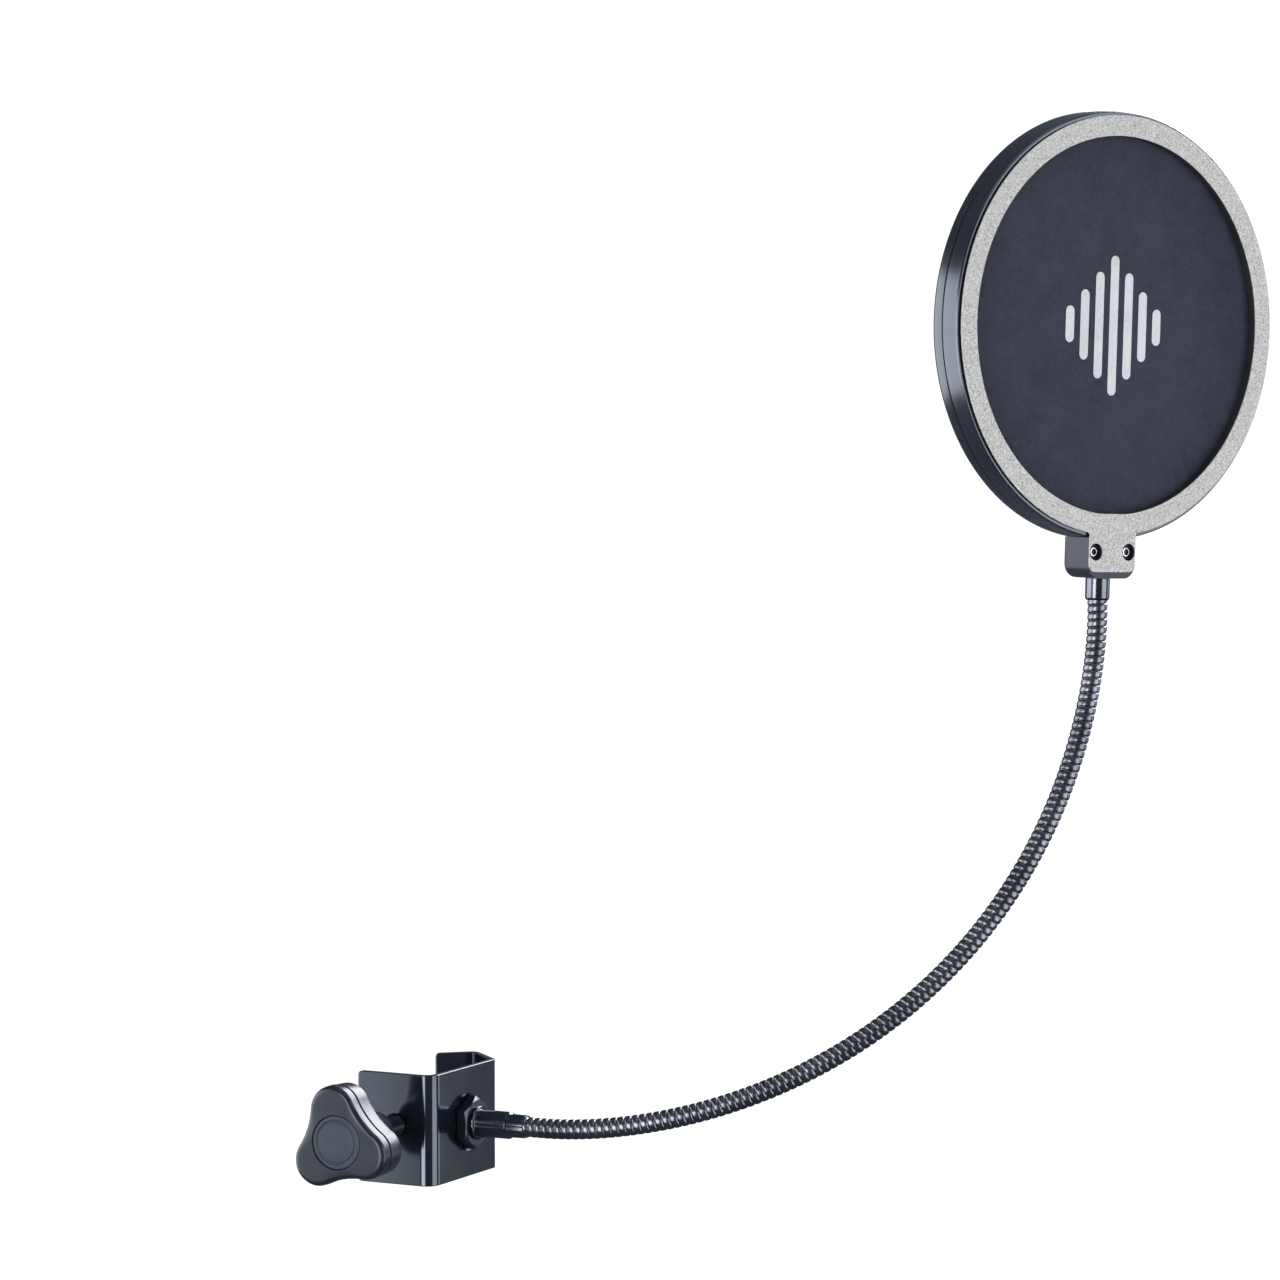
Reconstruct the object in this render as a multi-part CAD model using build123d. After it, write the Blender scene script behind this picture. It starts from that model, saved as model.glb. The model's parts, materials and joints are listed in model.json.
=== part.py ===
"""Pop filter: a round two-screen filter on a gooseneck with a screw clamp for a stand tube.

Frame: millimetres, +Z up along the stand tube. The origin is on the tube's axis, halfway up the
clamp bracket. +X is the way the gooseneck leaves the clamp, and -Y is the knob's side.
"""
from build123d import *
import math
import os

# ---- clamp bracket: one strip of sheet steel, bent to a near arm, a web and a V jaw
bracket_height = 40.0
plate_thickness = 2.3
stand_tube_radius = 9.0
jaw_slope = 42.0                # degrees between each flank of the V and the web's normal
web_x = 15.4                    # outer face of the web
arm_y = -45.4                   # outer face of the near arm
bend_radius = 2.4               # of the middle of the sheet
corner_radius = 1.5             # corners of the arm's free end
far_flank_x = 11.0              # how far the V's far flank reaches, at the middle of the sheet

# ---- clamp screw, its nut, knob and pressure foot
screw_radius = 4.0              # M8
screw_z = 1.2                   # the screw sits this far above the bracket's middle
running_fit = 0.08
weld_nut_across_flats = 13.0
weld_nut_height = 6.5
foot_face_y = -stand_tube_radius
foot_radius = 7.5
foot_length = 6.0
pad_thickness = 2.0
knob_face_y = arm_y - 41.4
knob_depth = 14.0               # of the three lobes
hub_length = 15.0               # tapered hub behind the lobes
hub_radii = (10.5, 6.8)
lobe_count = 3
lobe_reach = 20.0
lobe_radius = 8.8
lobe_turn = 11.0                # degrees that the first lobe leans from straight up
flank_reach = 13.2              # centre to the middle of a hollow between two lobes
cap_radius = 9.5
cap_thickness = 1.4

# ---- lower end of the gooseneck
neck_y = -20.0                  # where the gooseneck's stud passes through the web
stud_radius = 4.0
neck_nut_across_flats = 17.0
neck_nut_height = 3.6
washer_radius = 9.2
washer_thickness = 0.7
inner_nut_across_flats = 13.0
inner_nut_height = 3.0
collar_radius = 6.1
collar_length = 1.3
sleeve_radius = 4.9
crimp_radius = 4.15
sleeve_end_x = 33.2
ferrule_end_x = 40.0

# ---- gooseneck: a row of ball-and-socket links along one smooth curve
neck_radius = 3.5
link_count = 8
ball_radius = 3.2
socket_radius = 3.45
socket_setback = 1.1
ball_neck = 0.6                 # the bar stops this far short of the ball's centre
end_reach = 6.0                 # from a ferrule's end to the pivot beside it
neck_leaving = 58.5             # pull of the curve along +X as it leaves the clamp
neck_middle = (205.0, 32.0, 23.5)
neck_arriving = 57.0            # pull of the curve along the filter's own upright line

# ---- filter head, in its own frame: x right, y up, z out of the silver face
head_centre = (216.7, 91.1, 286.9)
head_heading = 64.5             # degrees from -Y towards +X of the way the face looks
head_roll = 2.0
head_depth = 13.6
ring_radius = 75.0
ring_opening = 67.6
ring_thickness = 0.6
edge_break = 0.2
rim_radius = 76.6
rim_back_radius = 2.6
seam_z = -0.9                   # parting seam round the rim
seam_width = 0.5
seam_depth = 0.4
wall_inner_radius = 73.0
lip_thickness = 2.2
groove_radius = 74.0
groove_height = 0.9
hoop_radius = 72.8
screen_radius = 72.4
screen_thickness = 0.3
front_screen_z = 2.9
rear_screen_z = -2.4
tab_width = 22.4
tab_bottom = 88.2               # below the head's centre
tab_corner = 3.0
tab_screw_spacing = 15.8
tab_screw_drop = 81.0
tab_hole_radius = 3.1
block_bottom = 90.5
block_corner = 5.0
block_back_corner = 2.5
counterbore_depth = 1.5
head_screw_radius = 2.2
head_screw_height = 1.7
head_shank_radius = 1.5
head_shank_length = 7.0
insert_radius = 2.3
ferrule_radius = 4.4
ferrule_drop = 98.5             # ferrule's lower end, below the head's centre
ferrule_grip = 5.0              # of the gooseneck, held inside the upper ferrule
ferrule_spigot_radius = 3.0
ferrule_spigot_length = 8.0

half_depth = head_depth / 2
web_inner_x = web_x - plate_thickness
arm_inner_y = arm_y + plate_thickness
hub_end_y = knob_face_y + knob_depth + hub_length


def rod(start, direction, radius, length):
    """Solid cylinder from start, along direction."""
    grow = (Align.CENTER, Align.CENTER, Align.MIN)
    return Plane(origin=start, z_dir=direction) * Cylinder(radius, length, align=grow)


def tube(start, direction, radius, bore, length):
    return rod(start, direction, radius, length) - rod(start, direction, bore, length)


def cone(start, direction, radius, end_radius, length):
    grow = (Align.CENTER, Align.CENTER, Align.MIN)
    return Plane(origin=start, z_dir=direction) * Cone(radius, end_radius, length, align=grow)


def hex_nut(start, direction, up, across_flats, height, bore):
    """Hexagon nut with its corners towards up, and its outer corners turned off."""
    plane = Plane(origin=start, x_dir=up, z_dir=direction)
    body = extrude(plane * RegularPolygon(across_flats / 2, 6, major_radius=False), height)
    corner = across_flats / math.sqrt(3)
    turned = rod(start, direction, corner, height)
    outward = Axis(start, direction)
    turned = chamfer(turned.edges().filter_by(GeomType.CIRCLE).sort_by(outward)[-1], 0.9)
    return (body & turned) - rod(start, direction, bore, height)


# ---- clamp

def clamp_bracket():
    slope = math.radians(jaw_slope)
    mid = plate_thickness / 2
    mid_x = web_x - mid
    mid_reach = stand_tube_radius + mid
    web_end_y = (mid_reach - mid_x * math.sin(slope)) / math.cos(slope)
    far_end_y = (mid_reach - far_flank_x * math.sin(slope)) / math.cos(slope)
    outline = FilletPolyline(
        (-web_x, arm_y + mid),
        (mid_x, arm_y + mid),
        (mid_x, web_end_y),
        (0, mid_reach / math.cos(slope)),
        (-far_flank_x, far_end_y),
        radius=bend_radius,
    )
    strip = extrude(trace(outline, line_width=plate_thickness), bracket_height / 2, both=True)
    free_edges = strip.edges().filter_by(Axis.Y).group_by(Axis.X)[0]
    strip = fillet(free_edges, corner_radius)
    strip -= rod((0, arm_y - 1, screw_z), (0, 1, 0), screw_radius + 0.5, plate_thickness + 2)
    strip -= rod((web_inner_x - 1, neck_y, 0), (1, 0, 0), stud_radius + 0.1, plate_thickness + 2)
    return strip


def weld_nut():
    start = (0, arm_inner_y, 0)
    return hex_nut(start, (0, 1, 0), (0, 0, 1), weld_nut_across_flats, weld_nut_height,
                   screw_radius + running_fit)


def lock_washer():
    return tube((web_x, neck_y, 0), (1, 0, 0), washer_radius, stud_radius + 0.1, washer_thickness)


def neck_nut():
    start = (web_x + washer_thickness, neck_y, 0)
    return hex_nut(start, (1, 0, 0), (0, 0, 1), neck_nut_across_flats, neck_nut_height,
                   stud_radius + 0.05)


def inner_nut():
    start = (web_inner_x, neck_y, 0)
    return hex_nut(start, (-1, 0, 0), (0, 0, 1), inner_nut_across_flats, inner_nut_height,
                   stud_radius + 0.05)


def lower_ferrule():
    """Threaded stud, round collar and the sleeve that is crimped over the gooseneck."""
    collar_x = web_x + washer_thickness + neck_nut_height
    stud_x = web_inner_x - inner_nut_height - 0.4
    sleeve_x = collar_x + collar_length
    body = rod((stud_x, neck_y, 0), (1, 0, 0), stud_radius, collar_x - stud_x)
    collar = rod((collar_x, neck_y, 0), (1, 0, 0), collar_radius, collar_length)
    body += chamfer(collar.edges().filter_by(GeomType.CIRCLE).sort_by(Axis.X)[-1], 0.5)
    body += rod((sleeve_x, neck_y, 0), (1, 0, 0), sleeve_radius, sleeve_end_x - sleeve_x)
    body += cone((sleeve_end_x, neck_y, 0), (1, 0, 0), sleeve_radius, crimp_radius, 0.9)
    crimp_x = sleeve_end_x + 0.9
    body += rod((crimp_x, neck_y, 0), (1, 0, 0), crimp_radius, ferrule_end_x - crimp_x)
    grip = ferrule_end_x - sleeve_end_x
    return body - rod((sleeve_end_x, neck_y, 0), (1, 0, 0), neck_radius, grip)


# ---- clamp screw

def clamp_screw():
    """M8 screw: its head is moulded into the knob, its tip is held in the pressure foot."""
    head_y = knob_face_y + 6
    shank_end_y = foot_face_y - pad_thickness - foot_length - 1.0
    body = rod((0, head_y, 0), (0, 1, 0), screw_radius, shank_end_y - head_y)
    head_plane = Plane(origin=(0, head_y, 0), x_dir=(0, 0, 1), z_dir=(0, 1, 0))
    body += extrude(head_plane * RegularPolygon(6.5, 6, major_radius=False), 5.3)
    body += rod((0, shank_end_y, 0), (0, 1, 0), 2.6, 4.0)
    body += rod((0, shank_end_y + 4.0, 0), (0, 1, 0), 3.6, 1.6)
    return body


def pressure_foot():
    """Steel cup that turns on the screw's tip."""
    back_y = foot_face_y - pad_thickness - foot_length
    body = rod((0, back_y, 0), (0, 1, 0), foot_radius, foot_length)
    body = chamfer(body.edges().filter_by(GeomType.CIRCLE).sort_by(Axis.Y)[0], 1.2)
    body -= rod((0, back_y, 0), (0, 1, 0), 2.6 + running_fit, foot_length)
    return body - rod((0, back_y + 2.8, 0), (0, 1, 0), 3.8, foot_length)


def foot_pad():
    pad = rod((0, foot_face_y - pad_thickness, 0), (0, 1, 0), foot_radius, pad_thickness)
    return chamfer(pad.edges().filter_by(GeomType.CIRCLE).sort_by(Axis.Y)[-1], 0.6)


def lobed_outline():
    """Three round lobes joined by hollow flanks that are tangent to them."""
    lobe_centre = lobe_reach - lobe_radius
    half_turn = math.radians(180 / lobe_count)
    along = lobe_centre * math.cos(half_turn)
    across = lobe_centre * math.sin(half_turn)
    # the flank's circle stands outside: it touches both lobes, and its nearest point is flank_reach out
    gap = flank_reach - along
    flank_radius = (across**2 + gap**2 - lobe_radius**2) / (2 * (lobe_radius - gap))
    flank_centre = flank_reach + flank_radius
    reach = lobe_radius / (lobe_radius + flank_radius)
    outline = []
    for number in range(lobe_count):
        lobe_angle = math.radians(90 + lobe_turn) + 2 * half_turn * number
        lobe = Vector(math.cos(lobe_angle), math.sin(lobe_angle))
        centres = []
        for side in (-1, 1):
            flank_angle = lobe_angle + side * half_turn
            centres.append(Vector(math.cos(flank_angle), math.sin(flank_angle)) * flank_centre)
        touch = [lobe * lobe_centre * (1 - reach) + centre * reach for centre in centres]
        outline.append(ThreePointArc(touch[0], lobe * lobe_reach, touch[1]))
        next_angle = lobe_angle + 2 * half_turn
        next_lobe = Vector(math.cos(next_angle), math.sin(next_angle)) * lobe_centre
        far_touch = next_lobe * (1 - reach) + centres[1] * reach
        hollow = centres[1].normalized() * flank_reach
        outline.append(ThreePointArc(touch[1], hollow, far_touch))
    return make_face(outline)


def knob():
    face_plane = Plane(origin=(0, knob_face_y, 0), x_dir=(1, 0, 0), z_dir=(0, -1, 0))
    body = extrude(face_plane * lobed_outline(), -knob_depth)
    rims = body.edges().group_by(Axis.Y)
    body = chamfer(rims[0], 1.8)
    body = chamfer(body.edges().group_by(Axis.Y)[-1], 0.8)
    back_y = knob_face_y + knob_depth
    body += cone((0, back_y, 0), (0, 1, 0), hub_radii[0], hub_radii[1], hub_length)
    body -= rod((0, knob_face_y, 0), (0, 1, 0), cap_radius, cap_thickness)
    return body - clamp_screw()


def knob_cap():
    cap = rod((0, knob_face_y, 0), (0, 1, 0), cap_radius - 0.05, cap_thickness - 0.05)
    return chamfer(cap.edges().filter_by(GeomType.CIRCLE).sort_by(Axis.Y)[0], 0.35)


# ---- gooseneck

def head_plane():
    heading = math.radians(head_heading)
    roll = math.radians(head_roll)
    face = Vector(math.sin(heading), -math.cos(heading), 0)
    right = Vector(math.cos(heading), math.sin(heading), 0)
    level_right = right * math.cos(roll) - Vector(0, 0, 1) * math.sin(roll)
    return Plane(origin=head_centre, x_dir=level_right, z_dir=face)


def neck_ends():
    """The first and the last pivot, each straight out of its ferrule."""
    head = head_plane()
    first = Vector(ferrule_end_x + end_reach, neck_y, 0)
    last = head.from_local_coords(Vector(0, -ferrule_drop - end_reach, 0))
    return first, last


def neck_curve():
    first, last = neck_ends()
    leaving = first + Vector(neck_leaving, 0, 0)
    arriving = last - head_plane().y_dir * neck_arriving
    return Bezier(first, leaving, neck_middle, arriving, last)


def neck_point(curve, distance):
    return curve.position_at(distance, position_mode=PositionMode.LENGTH)


def neck_direction(curve, distance):
    return curve.tangent_at(distance, position_mode=PositionMode.LENGTH)


def ball(centre, axis, radius):
    return Plane(origin=centre, z_dir=axis) * Sphere(radius)


def neck_link(curve, start, end):
    """Round bar along one arc of the curve, with a socket at its start and a ball at its end."""
    bar_start = start + socket_setback
    bar_end = end - ball_neck
    places = (bar_start, (bar_start + bar_end) / 2, bar_end)
    path = ThreePointArc(*[neck_point(curve, distance) for distance in places])
    bar = sweep(Plane(origin=path @ 0, z_dir=path % 0) * Circle(neck_radius), path=path)
    bar -= ball(neck_point(curve, start), path % 0, socket_radius)
    return bar + ball(neck_point(curve, end), path % 1, ball_radius)


def neck_nodes():
    curve = neck_curve()
    first, last = neck_ends()
    pitch = curve.length / link_count
    nodes = {}
    grip_start = Vector(sleeve_end_x, neck_y, 0)
    root = rod(grip_start, (1, 0, 0), neck_radius, first.X - ball_neck - sleeve_end_x)
    nodes["neck_root"] = root + ball(first, (1, 0, 0), ball_radius)
    for number in range(link_count):
        link = neck_link(curve, pitch * number, pitch * (number + 1))
        nodes[f"neck_link_{number + 1}"] = link
    upright = head_plane().y_dir
    tip_length = end_reach - socket_setback + ferrule_grip
    tip = rod(last + upright * socket_setback, upright, neck_radius, tip_length)
    nodes["neck_tip"] = tip - ball(last, upright, socket_radius)
    for number in range(link_count + 1):
        point = neck_point(curve, pitch * number)
        direction = neck_direction(curve, pitch * number)
        print("pivot", number, [round(value, 4) for value in (*point, *direction)])
    print("gooseneck length", round(curve.length + 2 * end_reach, 1), "link", round(pitch, 2))
    return nodes


# ---- filter head, built in its own frame

def ring(inner, outer, back, front):
    return tube((0, 0, back), (0, 0, 1), outer, inner, front - back)


def tab_outline():
    """The ring's flat tab, with its two lower corners rounded."""
    top = -ring_opening - 3
    height = tab_bottom + top
    block = Pos(0, (top - tab_bottom) / 2) * Rectangle(tab_width, height)
    lower = block.vertices().group_by(Axis.Y)[0]
    return fillet(lower, tab_corner)


def screw_places():
    return [(side * tab_screw_spacing / 2, -tab_screw_drop) for side in (-1, 1)]


def front_ring():
    """Silver plate: a flat ring with broken edges, and the tab that hangs from it."""
    back_z = half_depth - ring_thickness
    plate = ring(ring_opening, ring_radius, back_z, half_depth)
    plate = chamfer(plate.edges().group_by(Axis.Z)[-1], edge_break)
    tab = Pos(0, 0, back_z) * extrude(tab_outline(), ring_thickness)
    tab = chamfer(tab.edges().group_by(Axis.Z)[-1], edge_break)
    plate += tab - rod((0, 0, back_z), (0, 0, 1), ring_opening + edge_break, ring_thickness)
    for x, y in screw_places():
        plate -= rod((x, y, back_z), (0, 0, 1), tab_hole_radius, ring_thickness)
    return plate


def rim_casing():
    """Black rim: bulged wall with a parting seam, a rear lip and a groove behind the ring."""
    front_z = half_depth - ring_thickness
    shoulder_z = front_z - groove_height
    back_z = -half_depth
    shoulder = rim_radius - 0.8
    straight_z = back_z + rim_back_radius
    round_z = back_z + rim_back_radius * (1 - math.sin(math.radians(45)))
    round_r = rim_radius - rim_back_radius * (1 - math.cos(math.radians(45)))
    side = ThreePointArc((shoulder, 0, shoulder_z), (rim_radius - 0.2, 0, shoulder_z - 1.6),
                         (rim_radius, 0, shoulder_z - 4.0))
    section = [
        Polyline((wall_inner_radius, 0, front_z), (groove_radius, 0, front_z),
                 (groove_radius, 0, shoulder_z), (shoulder, 0, shoulder_z)),
        side,
        Line((rim_radius, 0, shoulder_z - 4.0), (rim_radius, 0, straight_z)),
        ThreePointArc((rim_radius, 0, straight_z), (round_r, 0, round_z),
                      (rim_radius - rim_back_radius, 0, back_z)),
        Polyline((rim_radius - rim_back_radius, 0, back_z), (ring_opening, 0, back_z),
                 (ring_opening, 0, back_z + lip_thickness),
                 (wall_inner_radius, 0, back_z + lip_thickness), (wall_inner_radius, 0, front_z)),
    ]
    casing = revolve(make_face(section), Axis.Z)
    return casing - ring(rim_radius - seam_depth, rim_radius + 1, seam_z - seam_width, seam_z)


def front_hoop():
    return ring(ring_opening, hoop_radius, front_screen_z + screen_thickness,
                half_depth - ring_thickness)


def spacer_ring():
    return ring(ring_opening, hoop_radius, rear_screen_z + screen_thickness, front_screen_z)


def rear_hoop():
    return ring(ring_opening, hoop_radius, lip_thickness - half_depth, rear_screen_z)


def screen(back):
    return rod((0, 0, back), (0, 0, 1), screen_radius, screen_thickness)


def socket_block():
    """Block behind the tab: it takes the gooseneck's upper end and the two tab screws."""
    front_z = half_depth - ring_thickness
    face = Pos(0, -(ring_opening + block_bottom) / 2) * Rectangle(
        tab_width, block_bottom - ring_opening)
    face = fillet(face.vertices().group_by(Axis.Y)[0], block_corner)
    body = Pos(0, 0, -half_depth) * extrude(face, front_z + half_depth)
    back_edges = body.edges().group_by(Axis.Z)[0].filter_by(Axis.Y)
    body = fillet(back_edges, block_back_corner)
    body -= rod((0, 0, -half_depth - 1), (0, 0, 1), rim_radius + 0.05, head_depth + 2)
    for x, y in screw_places():
        body -= rod((x, y, front_z - counterbore_depth), (0, 0, 1), tab_hole_radius, 5)
        body -= rod((x, y, front_z - head_shank_length - 2.5), (0, 0, 1), insert_radius, 12)
    spigot_start = (0, -block_bottom, 0)
    return body - rod(spigot_start, (0, 1, 0), ferrule_spigot_radius, ferrule_spigot_length + 0.5)


def tab_screws():
    """Two pan heads with a round drive recess, on M3 shanks."""
    seat_z = half_depth - ring_thickness - counterbore_depth
    group = []
    for x, y in screw_places():
        head = rod((x, y, seat_z), (0, 0, 1), head_screw_radius, head_screw_height)
        head = fillet(head.edges().filter_by(GeomType.CIRCLE).sort_by(Axis.Z)[-1], 0.5)
        head += rod((x, y, seat_z - head_shank_length), (0, 0, 1), head_shank_radius,
                    head_shank_length)
        drive = RegularPolygon(0.9, 6)
        drive_z = seat_z + head_screw_height - 1.0
        group.append(head - Pos(x, y, drive_z) * extrude(drive, 2))
    return Compound(group)


def tab_inserts():
    """Brass threaded inserts in the block, one for each tab screw."""
    front = half_depth - ring_thickness - counterbore_depth - 0.2
    length = head_shank_length + 0.4
    group = []
    for x, y in screw_places():
        sleeve = tube((x, y, front - length), (0, 0, 1), insert_radius, head_shank_radius, length)
        group.append(sleeve)
    return Compound(group)


def upper_ferrule():
    sleeve_length = ferrule_drop - block_bottom
    start = (0, -ferrule_drop, 0)
    body = rod(start, (0, 1, 0), ferrule_radius, sleeve_length)
    body = chamfer(body.edges().filter_by(GeomType.CIRCLE).sort_by(Axis.Y)[0], 0.7)
    body -= rod(start, (0, 1, 0), neck_radius, ferrule_grip)
    return body + rod((0, -block_bottom, 0), (0, 1, 0), ferrule_spigot_radius, ferrule_spigot_length)


def head_nodes():
    local = {
        "upper_ferrule": upper_ferrule(),
        "socket_block": socket_block(),
        "front_ring": front_ring(),
        "rim_casing": rim_casing(),
        "front_hoop": front_hoop(),
        "front_screen": screen(front_screen_z),
        "spacer_ring": spacer_ring(),
        "rear_screen": screen(rear_screen_z),
        "rear_hoop": rear_hoop(),
        "tab_screws": tab_screws(),
        "tab_inserts": tab_inserts(),
    }
    place = head_plane().location
    return {name: place * shape for name, shape in local.items()}


def screw_nodes():
    """The screw's parts, lifted together onto its axis."""
    centred = {
        "weld_nut": weld_nut(),
        "clamp_screw": clamp_screw(),
        "knob": knob(),
        "knob_cap": knob_cap(),
        "pressure_foot": pressure_foot(),
        "foot_pad": foot_pad(),
    }
    return {name: Pos(0, 0, screw_z) * shape for name, shape in centred.items()}


def main():
    nodes = {
        "clamp_bracket": clamp_bracket(),
        "lock_washer": lock_washer(),
        "neck_nut": neck_nut(),
        "inner_nut": inner_nut(),
        "lower_ferrule": lower_ferrule(),
    }
    nodes.update(screw_nodes())
    nodes.update(neck_nodes())
    nodes.update(head_nodes())
    os.makedirs("parts", exist_ok=True)
    for name, shape in nodes.items():
        export_step(shape, f"parts/{name}.step")


main()
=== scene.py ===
"""Pop filter: the visible pieces, materials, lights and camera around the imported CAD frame.

Everything is in metres in the frame of the model: +Z up along the stand tube, the origin on the
tube's axis halfway up the clamp, +X the way the gooseneck leaves, -Y the knob's side.
"""

import json
import math

import bmesh
import bpy
import numpy as np
from mathutils import Matrix, Vector


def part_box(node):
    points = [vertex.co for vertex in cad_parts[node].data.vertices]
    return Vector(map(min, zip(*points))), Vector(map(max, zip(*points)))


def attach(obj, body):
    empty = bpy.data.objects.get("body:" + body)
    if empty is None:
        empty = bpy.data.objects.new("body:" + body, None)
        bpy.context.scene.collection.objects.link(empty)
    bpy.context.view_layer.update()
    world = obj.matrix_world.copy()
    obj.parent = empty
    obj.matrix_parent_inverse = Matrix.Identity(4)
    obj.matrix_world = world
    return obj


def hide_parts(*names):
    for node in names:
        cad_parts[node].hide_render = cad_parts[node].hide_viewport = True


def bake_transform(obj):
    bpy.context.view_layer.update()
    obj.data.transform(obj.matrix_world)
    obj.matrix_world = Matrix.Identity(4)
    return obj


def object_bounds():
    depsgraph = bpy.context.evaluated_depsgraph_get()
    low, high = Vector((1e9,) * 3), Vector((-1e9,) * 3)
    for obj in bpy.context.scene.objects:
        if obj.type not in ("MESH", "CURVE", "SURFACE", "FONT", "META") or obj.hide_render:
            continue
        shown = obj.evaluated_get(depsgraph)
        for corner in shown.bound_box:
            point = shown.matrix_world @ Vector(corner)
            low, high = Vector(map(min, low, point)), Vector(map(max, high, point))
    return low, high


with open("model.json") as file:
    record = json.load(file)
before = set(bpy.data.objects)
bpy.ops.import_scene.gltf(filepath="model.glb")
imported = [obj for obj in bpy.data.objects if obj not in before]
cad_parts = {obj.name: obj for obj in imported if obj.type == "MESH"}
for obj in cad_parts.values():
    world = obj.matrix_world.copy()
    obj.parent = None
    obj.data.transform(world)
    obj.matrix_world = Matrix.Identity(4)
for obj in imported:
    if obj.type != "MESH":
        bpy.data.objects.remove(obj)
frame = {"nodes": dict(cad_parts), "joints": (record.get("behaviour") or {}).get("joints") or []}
cad_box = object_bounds()
MM = 0.001
UP = Vector((0, 0, 1))


# ------------------------------------------------------------------ mesh tools

def new_piece(name, points, faces, place=Matrix.Identity(4), sharp=32):
    """Mesh object at place, smooth but for edges that turn more than sharp degrees."""
    mesh = bpy.data.meshes.new(name)
    mesh.from_pydata([tuple(point) for point in points], [], faces)
    mesh.validate()
    mesh.polygons.foreach_set("use_smooth", [True] * len(mesh.polygons))
    mesh.set_sharp_from_angle(angle=math.radians(sharp))
    piece = bpy.data.objects.new(name, mesh)
    bpy.context.scene.collection.objects.link(piece)
    piece.matrix_world = place
    return piece


def fix_normals(piece):
    """Turns every face of the closed piece outwards."""
    work = bmesh.new()
    work.from_mesh(piece.data)
    bmesh.ops.recalc_face_normals(work, faces=work.faces)
    work.to_mesh(piece.data)
    work.free()
    return piece


def axis_place(origin, axis, up=UP):
    """Frame with z along axis and y as near to up as it can be."""
    z = Vector(axis).normalized()
    x = Vector(up).cross(z).normalized()
    y = z.cross(x)
    place = Matrix((x, y, z)).transposed().to_4x4()
    place.translation = Vector(origin)
    return place


def rounded(corners, steps=5):
    """Closed outline from (x, y, radius) corners, each turned into an arc of that radius."""
    outline = []
    count = len(corners)
    for number in range(count):
        here = Vector(corners[number][:2])
        radius = corners[number][2]
        before = (Vector(corners[number - 1][:2]) - here).normalized()
        after = (Vector(corners[(number + 1) % count][:2]) - here).normalized()
        half = before.angle(after) / 2
        if radius <= 0 or half > math.radians(89):
            outline.append(here)
            continue
        reach = radius / math.tan(half)
        middle = here + (before + after).normalized() * (radius / math.sin(half))
        start = here + before * reach - middle
        turn = (here + after * reach - middle).angle_signed(start)
        for step in range(steps + 1):
            arm = start.copy()
            arm.rotate(Matrix.Rotation(turn * step / steps, 2))
            outline.append(middle + arm)
    return outline


def lathe(name, section, place, segments=128, closed=True):
    """Section of (radius, height) points turned about place's z axis."""
    points = []
    starts = []
    for radius, height in section:
        starts.append(len(points))
        if radius < 1e-7:
            points.append((0, 0, height))
            continue
        for number in range(segments):
            angle = 2 * math.pi * number / segments
            points.append((radius * math.cos(angle), radius * math.sin(angle), height))
    faces = []
    count = len(section)
    for row in range(count if closed else count - 1):
        after = (row + 1) % count
        point_here = section[row][0] < 1e-7
        point_after = section[after][0] < 1e-7
        if point_here and point_after:
            continue
        for number in range(segments):
            along = (number + 1) % segments
            a, b = starts[row] + number, starts[row] + along
            c, d = starts[after] + along, starts[after] + number
            if point_here:
                faces.append((starts[row], c, d))
            elif point_after:
                faces.append((a, b, starts[after]))
            else:
                faces.append((a, b, c, d))
    return fix_normals(new_piece(name, points, faces, place))


def skin(name, rings, place=Matrix.Identity(4), sharp=32):
    """Tube through rings of equally many points, closed at both ends."""
    size = len(rings[0])
    points = [point for ring in rings for point in ring]
    faces = []
    for row in range(len(rings) - 1):
        for number in range(size):
            along = (number + 1) % size
            faces.append((row * size + number, row * size + along,
                          (row + 1) * size + along, (row + 1) * size + number))
    faces.append(tuple(reversed(range(size))))
    faces.append(tuple((len(rings) - 1) * size + number for number in range(size)))
    return fix_normals(new_piece(name, points, faces, place, sharp))


def looped(name, rings, place, sharp):
    """Closed skin through rings of equally many points, the last joined to the first again."""
    size = len(rings[0])
    points = [point for ring in rings for point in ring]
    faces = []
    for row in range(len(rings)):
        after = (row + 1) % len(rings)
        for number in range(size):
            along = (number + 1) % size
            faces.append((row * size + number, row * size + along,
                          after * size + along, after * size + number))
    return fix_normals(new_piece(name, points, faces, place, sharp))


def inset(outline, distance):
    """The closed outline moved inwards; the outline runs counter-clockwise."""
    moved = []
    count = len(outline)
    for number in range(count):
        here = Vector(outline[number][:2])
        before = (here - Vector(outline[number - 1][:2])).normalized()
        after = (Vector(outline[(number + 1) % count][:2]) - here).normalized()
        normal = Vector((-before.y - after.y, before.x + after.x))
        normal.normalize()
        stretch = max(0.5, normal.dot(Vector((-before.y, before.x))))
        moved.append(here + normal * (distance / stretch))
    return moved


def cut(piece, cutter):
    """Takes cutter's shape out of piece, and removes cutter."""
    tool = piece.modifiers.new("cut", "BOOLEAN")
    tool.operation = "DIFFERENCE"
    tool.solver = "EXACT"
    tool.object = cutter
    bpy.context.view_layer.update()
    result = piece.evaluated_get(bpy.context.evaluated_depsgraph_get())
    mesh = bpy.data.meshes.new_from_object(result)
    piece.modifiers.clear()
    piece.data = mesh
    bpy.data.objects.remove(cutter)


def drill(piece, place, radius, low, high, segments=64):
    """Round hole along place's z axis, from low to high."""
    section = [(0, low), (radius, low), (radius, high), (0, high)]
    cut(piece, lathe("hole", section, place, segments, False))


def keep_flats(piece):
    """Weighs the normals by face area, so that flat faces stay flat beside their rounded edges."""
    weigh = piece.modifiers.new("flats", "WEIGHTED_NORMAL")
    weigh.keep_sharp = True


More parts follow.
